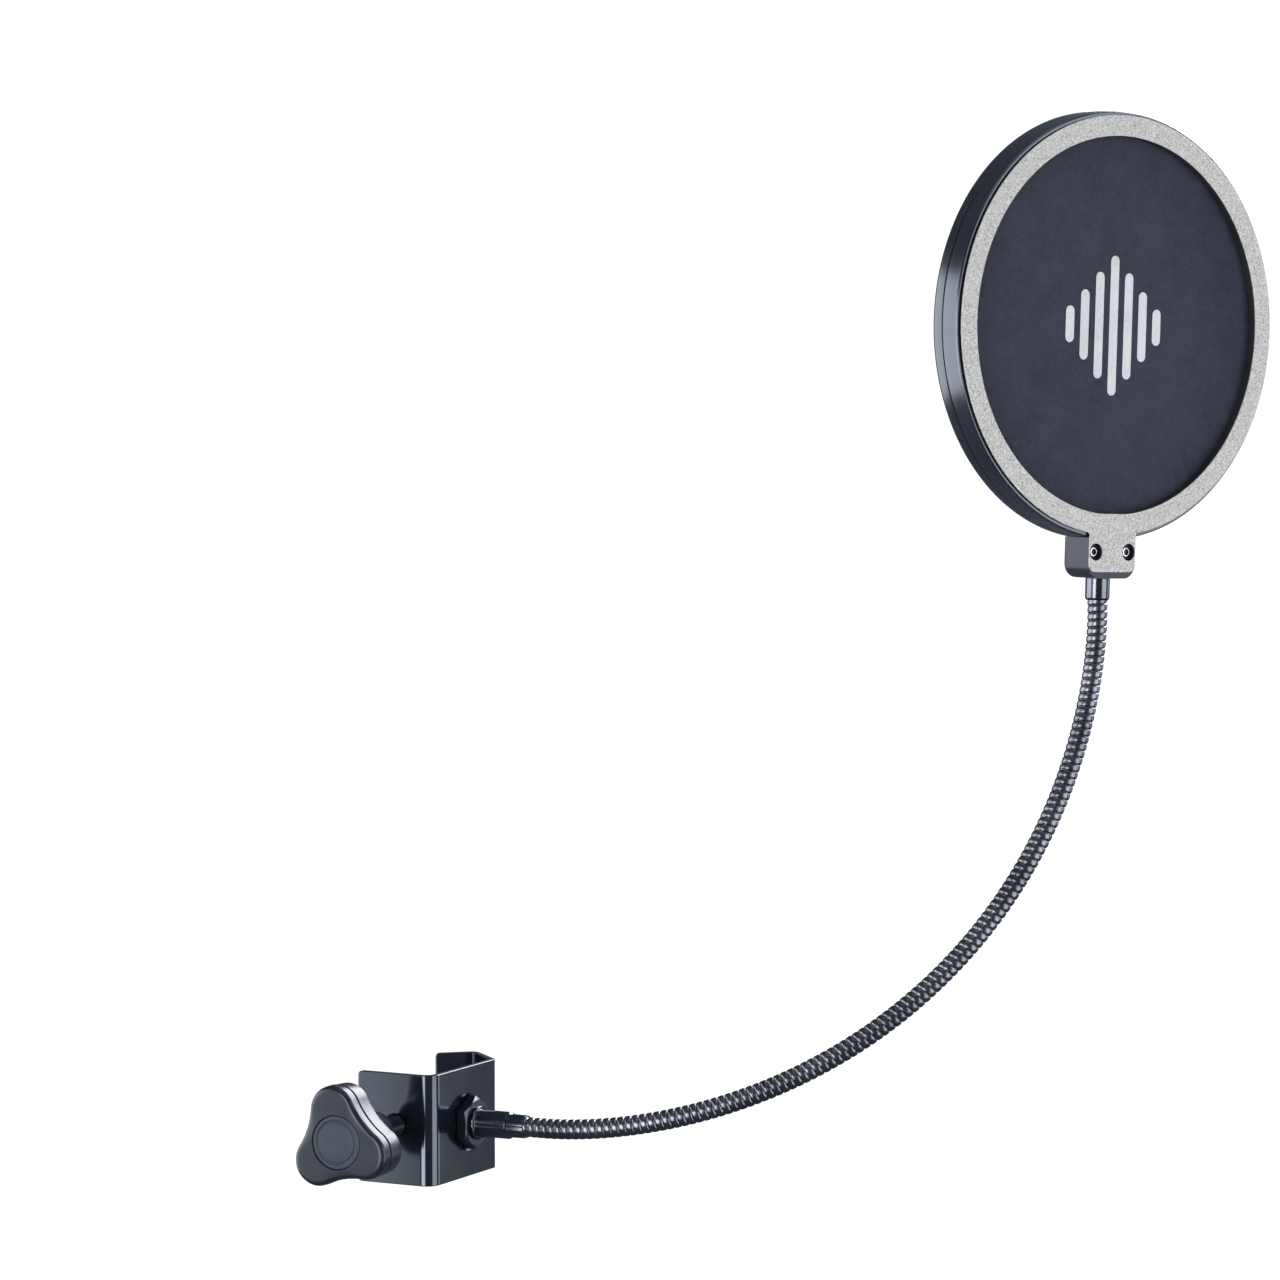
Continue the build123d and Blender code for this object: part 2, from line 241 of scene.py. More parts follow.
def finish_piece(piece, body, slot, material, *nodes):
    """Gives the piece its material, the body it rides and the CAD nodes it replaces. The slot is
    not used.
    """
    piece.data.materials.clear()
    piece.data.materials.append(material)
    if body:
        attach(piece, body)
    if nodes:
        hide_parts(*nodes)


# ------------------------------------------------------------------ materials

def new_material(name, colour, roughness, metallic=0.0):
    """New material, with its node tree and its shader."""
    material = bpy.data.materials.new(name)
    material.use_nodes = True
    shader = material.node_tree.nodes["Principled BSDF"]
    shader.inputs["Base Color"].default_value = (*colour, 1)
    shader.inputs["Roughness"].default_value = roughness
    shader.inputs["Metallic"].default_value = metallic
    return material, material.node_tree, shader


def noise(tree, scale, detail=3.0):
    """Noise in the piece's own coordinates; scale is in features per metre."""
    where = tree.nodes.new("ShaderNodeTexCoord")
    texture = tree.nodes.new("ShaderNodeTexNoise")
    texture.inputs["Scale"].default_value = scale
    texture.inputs["Detail"].default_value = detail
    tree.links.new(where.outputs["Object"], texture.inputs["Vector"])
    return texture.outputs["Fac"]


def colour_between(tree, shader, factor, stops):
    """Base colour from a ramp of (position, colour) stops."""
    ramp = tree.nodes.new("ShaderNodeValToRGB")
    ramp.color_ramp.elements[0].position = stops[0][0]
    ramp.color_ramp.elements[0].color = (*stops[0][1], 1)
    ramp.color_ramp.elements[1].position = stops[-1][0]
    ramp.color_ramp.elements[1].color = (*stops[-1][1], 1)
    for position, colour in stops[1:-1]:
        ramp.color_ramp.elements.new(position).color = (*colour, 1)
    tree.links.new(factor, ramp.inputs["Fac"])
    tree.links.new(ramp.outputs["Color"], shader.inputs["Base Color"])


def roughness_between(tree, shader, factor, low, high):
    """Roughness from low to high with the factor."""
    spread = tree.nodes.new("ShaderNodeMapRange")
    spread.inputs["To Min"].default_value = low
    spread.inputs["To Max"].default_value = high
    tree.links.new(factor, spread.inputs["Value"])
    tree.links.new(spread.outputs["Result"], shader.inputs["Roughness"])


def bump(tree, shader, height, depth, strength=1.0):
    """Relief from a height, depth metres deep."""
    node = tree.nodes.new("ShaderNodeBump")
    node.inputs["Distance"].default_value = depth
    node.inputs["Strength"].default_value = strength
    tree.links.new(height, node.inputs["Height"])
    tree.links.new(node.outputs["Normal"], shader.inputs["Normal"])


def coated_metal(name, colour, roughness, grain=900, depth=0.00001, specular=0.5, metallic=0.0):
    """Paint or plating on metal: faintly cloudy colour and gloss, and a fine orange peel."""
    material, tree, shader = new_material(name, colour, roughness, metallic)
    shader.inputs["Specular IOR Level"].default_value = specular
    shader.inputs["Specular Tint"].default_value = (0.8, 0.88, 1, 1)
    darker = tuple(value * 0.75 for value in colour)
    lighter = tuple(value * 1.35 for value in colour)
    colour_between(tree, shader, noise(tree, 60), [(0.3, darker), (0.7, lighter)])
    roughness_between(tree, shader, noise(tree, 140), roughness * 0.85, roughness * 1.2)
    bump(tree, shader, noise(tree, grain), depth)
    return material


def bare_metal(name, colour, roughness):
    """Plated metal with a fine, uneven grain."""
    material, tree, shader = new_material(name, colour, roughness, 1.0)
    darker = tuple(value * 0.8 for value in colour)
    colour_between(tree, shader, noise(tree, 700), [(0.35, darker), (0.65, colour)])
    roughness_between(tree, shader, noise(tree, 1500), roughness * 0.8, roughness * 1.3)
    bump(tree, shader, noise(tree, 2500), 0.00001)
    return material


def moulded_plastic(name, colour, roughness, grain=1800, depth=0.00002, specular=0.35):
    """Moulded plastic with a fine spark-eroded grain."""
    material, tree, shader = new_material(name, colour, roughness)
    shader.inputs["Specular IOR Level"].default_value = specular
    shader.inputs["Specular Tint"].default_value = (0.8, 0.88, 1, 1)
    darker = tuple(value * 0.8 for value in colour)
    lighter = tuple(value * 1.3 for value in colour)
    colour_between(tree, shader, noise(tree, 90), [(0.3, darker), (0.7, lighter)])
    roughness_between(tree, shader, noise(tree, 300), roughness * 0.9, roughness * 1.15)
    bump(tree, shader, noise(tree, grain, 4), depth)
    return material


def speckled_silver():
    """Blasted aluminium: pale warm grey with small dark and light specks."""
    material, tree, shader = new_material("speckled_silver", (0.3, 0.3, 0.29), 0.5, 0.2)
    stops = [(0.32, (0.095, 0.095, 0.095)), (0.43, (0.245, 0.24, 0.235)),
             (0.57, (0.29, 0.285, 0.275)), (0.70, (0.45, 0.445, 0.435))]
    colour_between(tree, shader, noise(tree, 2000, 4), stops)
    roughness_between(tree, shader, noise(tree, 1300), 0.45, 0.6)
    bump(tree, shader, noise(tree, 1900), 0.00003)
    return material


def woven(name, dark, light):
    """Plain weave: two sets of threads, over and under, with cloudy patches."""
    thread = 0.00045
    material, tree, shader = new_material(name, light, 0.8)
    shader.inputs["Sheen Weight"].default_value = 0.05
    shader.inputs["Sheen Roughness"].default_value = 0.5
    shader.inputs["Specular IOR Level"].default_value = 0.2
    where = tree.nodes.new("ShaderNodeTexCoord")
    split = tree.nodes.new("ShaderNodeSeparateXYZ")
    tree.links.new(where.outputs["Object"], split.inputs["Vector"])

    def maths(operation, first, second=None):
        node = tree.nodes.new("ShaderNodeMath")
        node.operation = operation
        for socket, value in zip(node.inputs, (first, second)):
            if value is None:
                continue
            if isinstance(value, float):
                socket.default_value = value
            else:
                tree.links.new(value, socket)
        return node.outputs["Value"]

    waves = [maths("MULTIPLY", split.outputs[axis], 2 * math.pi / thread) for axis in ("X", "Y")]
    across = maths("ABSOLUTE", maths("SINE", maths("MULTIPLY", waves[0], 0.5)))
    along = maths("ABSOLUTE", maths("SINE", maths("MULTIPLY", waves[1], 0.5)))
    over = maths("MULTIPLY", maths("SINE", waves[0]), maths("SINE", waves[1]))
    threads = maths("MULTIPLY", across, along)
    height = maths("ADD", threads, maths("MULTIPLY", over, 0.25))
    broad = maths("MULTIPLY", noise(tree, 90, 4), 0.5)
    fine = maths("MULTIPLY", noise(tree, 700, 5), 0.5)
    cloudy = maths("ADD", broad, fine)
    colour_between(tree, shader, maths("ADD", maths("MULTIPLY", height, 0.4), cloudy),
                   [(0.25, dark), (0.85, light)])
    bump(tree, shader, height, 0.00008, 0.6)
    return material


bracket_paint = coated_metal("bracket_paint", (0.0025, 0.0035, 0.006), 0.12, depth=0.000002,
                             specular=0.8)
nut_black = coated_metal("nut_black", (0.004, 0.005, 0.007), 0.2)
winding_black = coated_metal("winding_black", (0.12, 0.12, 0.135), 0.28, depth=0.000004,
                             metallic=1.0)
ferrule_black = coated_metal("ferrule_black", (0.09, 0.093, 0.11), 0.16, depth=0.000004,
                             metallic=1.0)
rim_black = coated_metal("rim_black", (0.006, 0.006, 0.010), 0.2, grain=500, depth=0.000006,
                         specular=0.8)
zinc = bare_metal("zinc", (0.5, 0.5, 0.5), 0.24)
brass = bare_metal("brass", (0.72, 0.55, 0.27), 0.3)
knob_plastic = moulded_plastic("knob_plastic", (0.0055, 0.0058, 0.009), 0.3, specular=0.42)
cap_plastic = moulded_plastic("cap_plastic", (0.011, 0.016, 0.023), 0.4)
block_plastic = moulded_plastic("block_plastic", (0.011, 0.0105, 0.017), 0.33, specular=0.3)
hoop_plastic = moulded_plastic("hoop_plastic", (0.010, 0.010, 0.012), 0.6)
pad_rubber = moulded_plastic("pad_rubber", (0.014, 0.014, 0.014), 0.75, 1200, 0.00006)
silver = speckled_silver()
mesh_cloth = woven("mesh_cloth", (0.002, 0.0025, 0.006), (0.019, 0.021, 0.040))
mark_ink = woven("mark_ink", (0.26, 0.26, 0.28), (0.42, 0.42, 0.44))


# ------------------------------------------------------------------ the head's own frame

def middle(node):
    """Centre of a CAD node's box."""
    low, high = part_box(node)
    return (low + high) / 2


def head_frame():
    """x right, y up and z out of the silver face, with its origin at the head's centre."""
    face = (middle("front_screen") - middle("rear_screen")).normalized()
    last_pivot = Vector(frame["joints"][-1]["pos_m"])
    across = middle("spacer_ring") - last_pivot
    up = (across - face * across.dot(face)).normalized()
    place = axis_place((0, 0, 0), face, up)
    ring = middle("spacer_ring")
    depth = middle("rim_casing").dot(place.col[2].xyz)
    flat = Vector((ring.dot(place.col[0].xyz), ring.dot(place.col[1].xyz), 0))
    place.translation = place.to_3x3() @ flat + place.col[2].xyz * depth
    return place


def in_head(node):
    """A CAD node's points in the head's axes, as an array."""
    turn = np.array(head.to_3x3())
    points = np.array([vertex.co for vertex in frame["nodes"][node].data.vertices])
    return (points - np.array(head.translation)) @ turn


head = head_frame()
rim_points = in_head("rim_casing")
ring_points = in_head("front_ring")
rim_radius = float(np.hypot(rim_points[:, 0], rim_points[:, 1]).max())
half_depth = float(ring_points[:, 2].max())
ring_back = float(ring_points[:, 2].min())
ring_radius = float(ring_points[:, 1].max())
ring_opening = float(np.hypot(ring_points[:, 0], ring_points[:, 1]).min())
hoop_radius = float(in_head("spacer_ring")[:, 0].max())
tab_drop = -float(ring_points[:, 1].min())
tab_width = 22.4 * MM
block_drop = -float(in_head("socket_block")[:, 1].min())
ferrule_low = float(in_head("upper_ferrule")[:, 1].min())


def rim():
    """Black casing: bulged wall with a seam, groove behind the silver ring and a rear lip."""
    groove = ring_radius - 1.0 * MM
    shoulder = ring_back - 0.5 * MM
    wall = hoop_radius + 0.2 * MM
    bulge_z, bulge_radius = 2.3 * MM, 5.0 * MM
    seam_z, seam_width = -0.9 * MM, 0.5 * MM
    seam_floor = rim_radius - 0.4 * MM
    seam_edge = 0.3 * MM
    back_radius = 2.5 * MM
    corners = [
        (wall, plate_back, 0),
        (groove, plate_back, 0),
        (groove, shoulder, 0.2 * MM),
        (rim_radius - 0.6 * MM, shoulder, 0.15 * MM),
        (rim_radius - 0.2 * MM, shoulder - 0.55 * MM, 0.2 * MM),
        (rim_radius - 0.1 * MM, bulge_z, bulge_radius),
        (rim_radius, seam_z, seam_edge),
        (seam_floor, seam_z - 0.1 * MM, 0),
        (seam_floor, seam_z - seam_width + 0.1 * MM, 0),
        (rim_radius, seam_z - seam_width, seam_edge),
        (rim_radius, -half_depth, back_radius),
        (ring_opening, -half_depth, 0.5 * MM),
        (ring_opening, rim_lip - half_depth, 0.2 * MM),
        (wall, rim_lip - half_depth, 0),
    ]
    piece = lathe("rim", rounded(corners, 8), head, 288)
    finish_piece(piece, "head", "rim_black", rim_black, "rim_casing")


def hoop(name, node, low, high):
    """Plastic hoop inside the casing, from one depth to another."""
    corners = [(ring_opening, low, 0.15 * MM), (hoop_radius, low, 0),
               (hoop_radius, high, 0), (ring_opening, high, 0.15 * MM)]
    piece = lathe(name, rounded(corners, 3), head, 240)
    finish_piece(piece, "head", "hoop_plastic", hoop_plastic, node)


def arc_points(centre, radius, start, end, steps):
    """Points on an arc, start and end in degrees."""
    turn = [math.radians(start + (end - start) * step / steps) for step in range(steps + 1)]
    return [Vector((centre[0] + radius * math.cos(a), centre[1] + radius * math.sin(a)))
            for a in turn]


def ring_outline():
    """Outer edge of the silver plate, counter-clockwise: the circle, then round the tab."""
    half = tab_width / 2
    fillet = 1.2 * MM
    corner = 3.0 * MM
    # the small fillet touches the ring's circle outside and the tab's straight side
    centre_x = half + fillet
    centre_y = -math.sqrt((ring_radius + fillet) ** 2 - centre_x ** 2)
    lean = math.degrees(math.atan2(centre_y, centre_x))
    points = arc_points((0, 0), ring_radius, lean, 180 - lean, 300)
    points += arc_points((-centre_x, centre_y), fillet, -lean, 0, 6)
    points += arc_points((-half + corner, -tab_drop + corner), corner, 180, 270, 8)
    points += arc_points((half - corner, -tab_drop + corner), corner, 270, 360, 8)
    points += arc_points((centre_x, centre_y), fillet, 180, 180 + lean, 6)[:-1]
    return points


def drill_tab(piece, floor):
    """The two screw holes of the tab, open to the front, with their floor at the given depth."""
    for x, y in screw_places:
        place = head @ Matrix.Translation((x, y, floor))
        drill(piece, place, tab_hole, 0, 5 * MM, 48)


def silver_ring():
    """One closed skin: up the outer edge, over the front, down inside and across the back."""
    outer = ring_outline()
    edge = 0.15 * MM
    ring_sharp = 50
    inner = [point.normalized() * ring_opening for point in outer]
    loops = []
    soft = edge * (1 - math.sqrt(0.5))
    for depth, shrink in ((half_depth - plate_back, 0), (edge, 0), (soft, soft), (0, edge)):
        loops.append([(p[0], p[1], half_depth - depth) for p in inset(outer, shrink)])
    for grow, depth in ((edge, 0), (soft, soft), (0, edge)):
        loops.append([(p.x * (1 + grow / ring_opening), p.y * (1 + grow / ring_opening),
                       half_depth - depth) for p in inner])
    loops.append([(p.x, p.y, plate_back) for p in inner])
    piece = looped("silver_ring", loops, head, ring_sharp)
    drill_tab(piece, ring_back - 1 * MM)
    piece.data.set_sharp_from_angle(angle=math.radians(ring_sharp))
    keep_flats(piece)
    finish_piece(piece, "head", "speckled_silver", silver, "front_ring")


def screen(name, node, swell):
    """Woven disc, pulled tight, that swells a little in the middle."""
    points = in_head(node)
    back, front = float(points[:, 2].min()), float(points[:, 2].max())
    radius = float(points[:, 0].max())
    middle_z = (back + front) / 2
    thin = 0.1 * MM
    rows = 24
    top = [(radius * row / rows, middle_z + thin + swell * (1 - (row / rows) ** 2))
           for row in range(rows + 1)]
    low = [(r, z - 2 * thin) for r, z in reversed(top)]
    piece = lathe(name, top + low, head, 160, False)
    finish_piece(piece, "head", "mesh_cloth", mesh_cloth, node)


def sound_mark(swell):
    """Printed mark: seven upright bars, tallest in the middle, as thick as ink on cloth."""
    front = float(in_head("front_screen")[:, 2].mean()) + 0.12 * MM
    radius = hoop_radius
    heights = [13, 25, 38, 50, 38, 25, 13]
    width = 4.0 * MM
    step = 7.0 * MM
    above, below = 0.03 * MM, 0.02 * MM
    points, faces = [], []
    for number, height in enumerate(heights):
        x = (number - (len(heights) - 1) / 2) * step
        half = height * MM / 2 - width / 2
        cap = [math.radians(angle) for angle in range(4, 91, 8)]
        ends = [(half + width / 2 * math.cos(a), width / 2 * math.sin(a)) for a in cap]
        strips = [(-y, reach) for y, reach in ends]
        strips += [(half * share, width / 2) for share in (-0.5, 0, 0.5)]
        strips += list(reversed(ends))
        start = len(points)
        # strips across the bar follow the cloth's slight swell
        for y, reach in strips:
            for side in (-1, 1):
                here_x = x + side * reach
                away = (here_x ** 2 + y ** 2) / radius ** 2
                z = front + swell * (1 - away)
                points.append((here_x, y, z + above))
                points.append((here_x, y, z - below))
        for row in range(len(strips) - 1):
            a = start + row * 4
            b = a + 4
            faces.append((a, a + 2, b + 2, b))
            faces.append((a + 1, b + 1, b + 3, a + 3))
            faces.append((a, b, b + 1, a + 1))
            faces.append((a + 2, a + 3, b + 3, b + 2))
        faces.append((start, start + 1, start + 3, start + 2))
        last = start + 4 * (len(strips) - 1)
        faces.append((last, last + 2, last + 3, last + 1))
    piece = fix_normals(new_piece("sound_mark", points, faces, head))
    finish_piece(piece, "head", "mesh_cloth", mark_ink)


def socket_block():
    """Block behind the tab, with rounded lower corners and a hollow top under the rim."""
    half = tab_width / 2
    corner = 5.0 * MM
    seat = rim_radius + 0.08 * MM
    lean = math.degrees(math.asin(half / seat))
    outline = arc_points((-half + corner, -block_drop + corner), corner, 180, 270, 10)
    outline += arc_points((half - corner, -block_drop + corner), corner, 270, 360, 10)
    outline += arc_points((0, 0), seat, -90 + lean, -90 - lean, 14)
    rings = [[(x, y, plate_back) for x, y in outline]]
    edge = 2.5 * MM
    steps = 8
    for step in range(steps + 1):
        turn = math.pi / 2 * step / steps
        shrink = edge * (1 - math.cos(turn))
        height = edge * (1 - math.sin(turn)) - half_depth
        rings.append([(x, y, height) for x, y in narrowed(outline, half, shrink)])
    piece = skin("socket_block", rings, head)
    drill_tab(piece, plate_back - 1.7 * MM)
    piece.data.set_sharp_from_angle(angle=math.radians(32))
    keep_flats(piece)
    finish_piece(piece, "head", "block_plastic", block_plastic, "socket_block")


def narrowed(outline, half, shrink):
    """The block's outline with its two sides and its bottom drawn in."""
    moved = []
    for point in outline:
        x = point[0] * (half - shrink) / half
        lift = max(0.0, (-point[1] - rim_radius) / (block_drop - rim_radius))
        moved.append(Vector((x, point[1] + shrink * 0.6 * lift)))
    return moved


def tab_screws():
    """Two pan-head screws, each with a tapered drive hole, as one pair that stands for the node."""
    seat = ring_back - 2.1 * MM
    head_radius, head_height = 2.0 * MM, 1.5 * MM
    shank, length = 1.5 * MM, 7.0 * MM
    drive = 1.15 * MM
    drive_floor = seat + 0.5 * MM
    for number, (x, y) in enumerate(screw_places, 1):
        corners = [(0, drive_floor, 0), (drive * 0.9, drive_floor, 0),
                   (drive, seat + head_height, 0.1 * MM),
                   (head_radius, seat + head_height, 0.7 * MM), (head_radius, seat, 0.1 * MM),
                   (shank, seat, 0), (shank, seat - length, 0.2 * MM), (0, seat - length, 0)]
        place = head @ Matrix.Translation((x, y, 0))
        piece = lathe(f"tab_screw_{number}", rounded(corners, 5), place, 60, False)
        finish_piece(piece, "head", "zinc_steel", zinc)
    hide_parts("tab_screws")


def upper_ferrule():
    """Round sleeve between the block and the gooseneck, turned down to a spigot in the block."""
    low, high = ferrule_low, -block_drop
    outer = 4.4 * MM
    inner = 3.5 * MM
    spigot, spigot_reach = 3.0 * MM, 8 * MM
    grip = 5.0 * MM
    corners = [(0, low + grip, 0), (inner, low + grip, 0), (inner, low, 0.15 * MM),
               (outer - 0.45 * MM, low, 0.25 * MM), (outer, low + 0.8 * MM, 0.5 * MM),
               (outer, high, 0.1 * MM), (spigot, high, 0),
               (spigot, high + spigot_reach, 0.3 * MM), (0, high + spigot_reach, 0)]
    place = head @ Matrix.Rotation(math.radians(-90), 4, "X")
    piece = lathe("upper_ferrule", rounded(corners, 5), place, 96, False)
    finish_piece(piece, "head", "gooseneck_black", ferrule_black, "upper_ferrule")


screw_places = [(side * 7.9 * MM, -81.0 * MM) for side in (-1, 1)]
tab_hole = 3.1 * MM
plate_back = half_depth - 0.3 * MM
rim_lip = 2.2 * MM
front_belly = 0.35 * MM
rim()
screen_front_z = float(in_head("front_screen")[:, 2].max())
screen_rear_z = float(in_head("rear_screen")[:, 2].max())
hoop("front_hoop", "front_hoop", screen_front_z, plate_back)
hoop("spacer", "spacer_ring", screen_rear_z, float(in_head("front_screen")[:, 2].min()))
hoop("rear_hoop", "rear_hoop", rim_lip - half_depth, float(in_head("rear_screen")[:, 2].min()))
silver_ring()
screen("front_mesh", "front_screen", front_belly)
screen("rear_mesh", "rear_screen", -front_belly)
sound_mark(front_belly)
socket_block()
tab_screws()
upper_ferrule()


# ------------------------------------------------------------------ gooseneck

neck_radius = 3.6 * MM
winding_pitch = 2.68 * MM
rib_height = 0.5 * MM
neck_joints = [joint for joint in frame["joints"] if joint["name"].startswith("neck")]
pivots = np.array([joint["pos_m"] for joint in neck_joints])


def smooth_line(first_way, last_way):
    """Smooth curve through the pivots that leaves and arrives along the two given ways."""
    count = len(pivots)
    # an arc between two pivots is a little longer than the straight line
    spacing = float(np.linalg.norm(pivots[4] - pivots[3])) * 1.002
    system = np.zeros((count, count))
    wanted = np.zeros((count, 3))
    system[0, 0] = system[-1, -1] = 1
    wanted[0] = np.array(first_way) * spacing
    wanted[-1] = np.array(last_way) * spacing
    for row in range(1, count - 1):
        system[row, row - 1:row + 2] = (1, 4, 1)
        wanted[row] = 3 * (pivots[row + 1] - pivots[row - 1])
    ways = np.linalg.solve(system, wanted)
    line = []
    steps = 40
    for row in range(count - 1):
        for step in range(steps):
            t = step / steps
            line.append((2 * t ** 3 - 3 * t ** 2 + 1) * pivots[row]
                        + (t ** 3 - 2 * t ** 2 + t) * ways[row]
                        + (3 * t ** 2 - 2 * t ** 3) * pivots[row + 1]
                        + (t ** 3 - t ** 2) * ways[row + 1])
    line.append(pivots[-1])
    return np.array(line)


def rib(turn):
    """Radius of the winding at a share of one turn: a flat-topped rib and a narrow groove."""
    half_rib = 0.46
    away = abs(turn % 1 - 0.5) / half_rib
    if away >= 1:
        return neck_radius - rib_height
    return neck_radius - rib_height + rib_height * math.sqrt(1 - away ** 3)


def neck_rings(line):
    """Circles of the winding at even steps along the line, each as (centre, points)."""
    steps = np.linalg.norm(np.diff(line, axis=0), axis=1)
    distance = np.concatenate([[0], np.cumsum(steps)])
    per_turn = 14
    count = int(distance[-1] / (winding_pitch / per_turn))
    places = np.linspace(0, distance[-1], count + 1)
    centres = np.column_stack([np.interp(places, distance, line[:, axis]) for axis in range(3)])
    ways = np.gradient(centres, axis=0)
    ways /= np.linalg.norm(ways, axis=1)[:, None]
    side = np.array([0.0, 0.0, 1.0])
    around = 40
    rings = []
    for place, centre, way in zip(places, centres, ways):
        side = side - way * (side @ way)
        side /= np.linalg.norm(side)
        other = np.cross(way, side)
        ring = []
        for number in range(around):
            angle = 2 * math.pi * number / around
            radius = rib(place / winding_pitch - number / around)
            ring.append(centre + radius * (math.cos(angle) * side + math.sin(angle) * other))
        rings.append((centre, ring))
    return rings


def gooseneck():
    """One stretch of winding for each joint, from the middle of one link to the next."""
    up = np.array(head.col[1].xyz)
    inside_lower, inside_upper = 2 * MM, 4 * MM
    start = np.array((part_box("neck_root")[0].x + inside_lower, pivots[0][1], pivots[0][2]))
    top = np.array(head.translation) + up * (ferrule_low + inside_upper)
    curve = smooth_line((1, 0, 0), up)
    line = np.vstack([np.linspace(start, pivots[0], 20)[:-1], curve,
                      np.linspace(pivots[-1], top, 16)[1:]])
    rings = neck_rings(line)
    centres = np.array([ring[0] for ring in rings])
    nearest = [int(np.argmin(np.linalg.norm(centres - pivot, axis=1))) for pivot in pivots]
    splits = [0] + [(a + b) // 2 for a, b in zip(nearest, nearest[1:])] + [len(rings) - 1]
    last_number = len(neck_joints) - 1
    for number, joint in enumerate(neck_joints):
        first, last = splits[number], splits[number + 1]
        piece = skin(f"winding_{number + 1}", [ring[1] for ring in rings[first:last + 1]], sharp=80)
        nodes = ["neck_tip"] if number == last_number else [f"neck_link_{number + 1}"]
        if number == 0:
            nodes.append("neck_root")
        finish_piece(piece, None, "gooseneck_black", winding_black)
        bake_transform(piece)
        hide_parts(*nodes)


gooseneck()


# ------------------------------------------------------------------ clamp

def nut(name, start, way, across, height, bore):
    """Hexagon nut, corners up, with the corners of its far face turned off at 30 degrees."""
    flat = across / 2
    face_radius = flat * 0.97
    lead_in = 0.4 * MM
    segments = 96
    slope = math.tan(math.radians(30))
    # each row: the radius, or None for the hexagon, and the height
    rows = [(face_radius, 0.0), (None, 0.0), (None, height), (face_radius, height),
            (bore + lead_in, height), (bore, height - lead_in), (bore, lead_in),
            (bore + lead_in, 0.0)]
    rings = []
    for radius, z in rows:
        ring = []
        for number in range(segments):
            angle = 2 * math.pi * number / segments
            side = (angle + math.pi / 2) % (math.pi / 3) - math.pi / 6
            hexagon = flat / math.cos(side)
            here = hexagon if radius is None else radius
            drop = (hexagon - face_radius) * slope if radius is None and z > 0 else 0.0
            ring.append((here * math.cos(angle), here * math.sin(angle), z - drop))
        rings.append(ring)
    return looped(name, rings, axis_place(start, way), 25)


def bracket_line(low, high, thick):
    """Middle line of the bent strip, seen from above, from the near arm's end to the jaw's."""
    web = high.x - thick / 2
    arm = low.y + thick / 2
    # the two flanks of the V jaw stand at this angle and touch a tube of 9 mm radius
    slope = math.radians(42)
    reach = 9 * MM + thick / 2
    web_end = (reach - web * math.sin(slope)) / math.cos(slope)
    far_x = 11 * MM
    far_end = (reach - far_x * math.sin(slope)) / math.cos(slope)
    corners = [(low.x, arm, 0), (web, arm, 4.0 * MM), (web, web_end, 2.4 * MM),
               (0, reach / math.cos(slope), 2.4 * MM), (-far_x, far_end, 0)]
    return rounded(corners, 14)


def bracket():
    """Bent strip of sheet steel: near arm, web and V jaw, with softened edges."""
    low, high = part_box("clamp_bracket")
    thick = 2.3 * MM
    line = bracket_line(low, high, thick)
    # the free ends: extra places where the strip's corners and edges are rounded off
    corner = 1.5 * MM
    edge = 0.35 * MM
    first_way = (line[1] - line[0]).normalized()
    last_way = (line[-1] - line[-2]).normalized()
    steps = 6
    head_places = [corner * (1 - math.cos(math.pi / 2 * step / steps)) for step in range(steps + 1)]
    path = [(line[0] + first_way * s, first_way, s) for s in head_places]
    for number in range(1, len(line) - 1):
        way = (line[number + 1] - line[number - 1]).normalized()
        path.append((line[number], way, corner))
    path += [(line[-1] - last_way * s, last_way, s) for s in reversed(head_places)]
    rings = []
    for point, way, s in path:
        side = Vector((-way.y, way.x))
        drop = 0.0
        pull = 0.0
        if s < corner:
            drop = corner - math.sqrt(max(0.0, corner ** 2 - (corner - s) ** 2))
            pull = max(0.0, edge - s) * 0.6
        tall = high.z - drop
        wide = thick / 2 - pull
        section = rounded([(-wide, -tall, edge), (wide, -tall, edge), (wide, tall, edge),
                           (-wide, tall, edge)], 3)
        rings.append([(point.x + side.x * n, point.y + side.y * n, z) for n, z in section])
    piece = skin("bracket", rings, sharp=35)
    screw_hole, stud_hole = 4.5 * MM, 4.1 * MM
    drill(piece, axis_place((0, low.y, screw_z), (0, 1, 0)), screw_hole, -2 * MM, 4 * MM)
    drill(piece, axis_place((high.x, neck_y, 0), (1, 0, 0)), stud_hole, -4 * MM, 2 * MM)
    piece.data.set_sharp_from_angle(angle=math.radians(35))
    keep_flats(piece)
    finish_piece(piece, "clamp", "bracket_paint", bracket_paint, "clamp_bracket")


def threaded(name, start, way, length, outer, pitch):
    """Threaded rod with a V thread that runs out at both ends."""
    depth = 0.54 * pitch
    half_groove = 0.42
    run_out = 0.7 * MM
    per_turn = 8
    count = int(length / pitch * per_turn)
    around = 40
    rings = []
    for row in range(count + 1):
        z = length * row / count
        ring = []
        for number in range(around):
            angle = 2 * math.pi * number / around
            turn = (z / pitch - number / around) % 1
            cutting = max(0.0, 1 - abs(turn - 0.5) / half_groove) * depth
            from_end = min(z, length - z)
            taper = max(0.0, run_out - from_end)
            radius = min(outer - cutting, outer - taper)
            ring.append((radius * math.cos(angle), radius * math.sin(angle), z))
        rings.append(ring)
    return skin(name, rings, axis_place(start, way), 40)


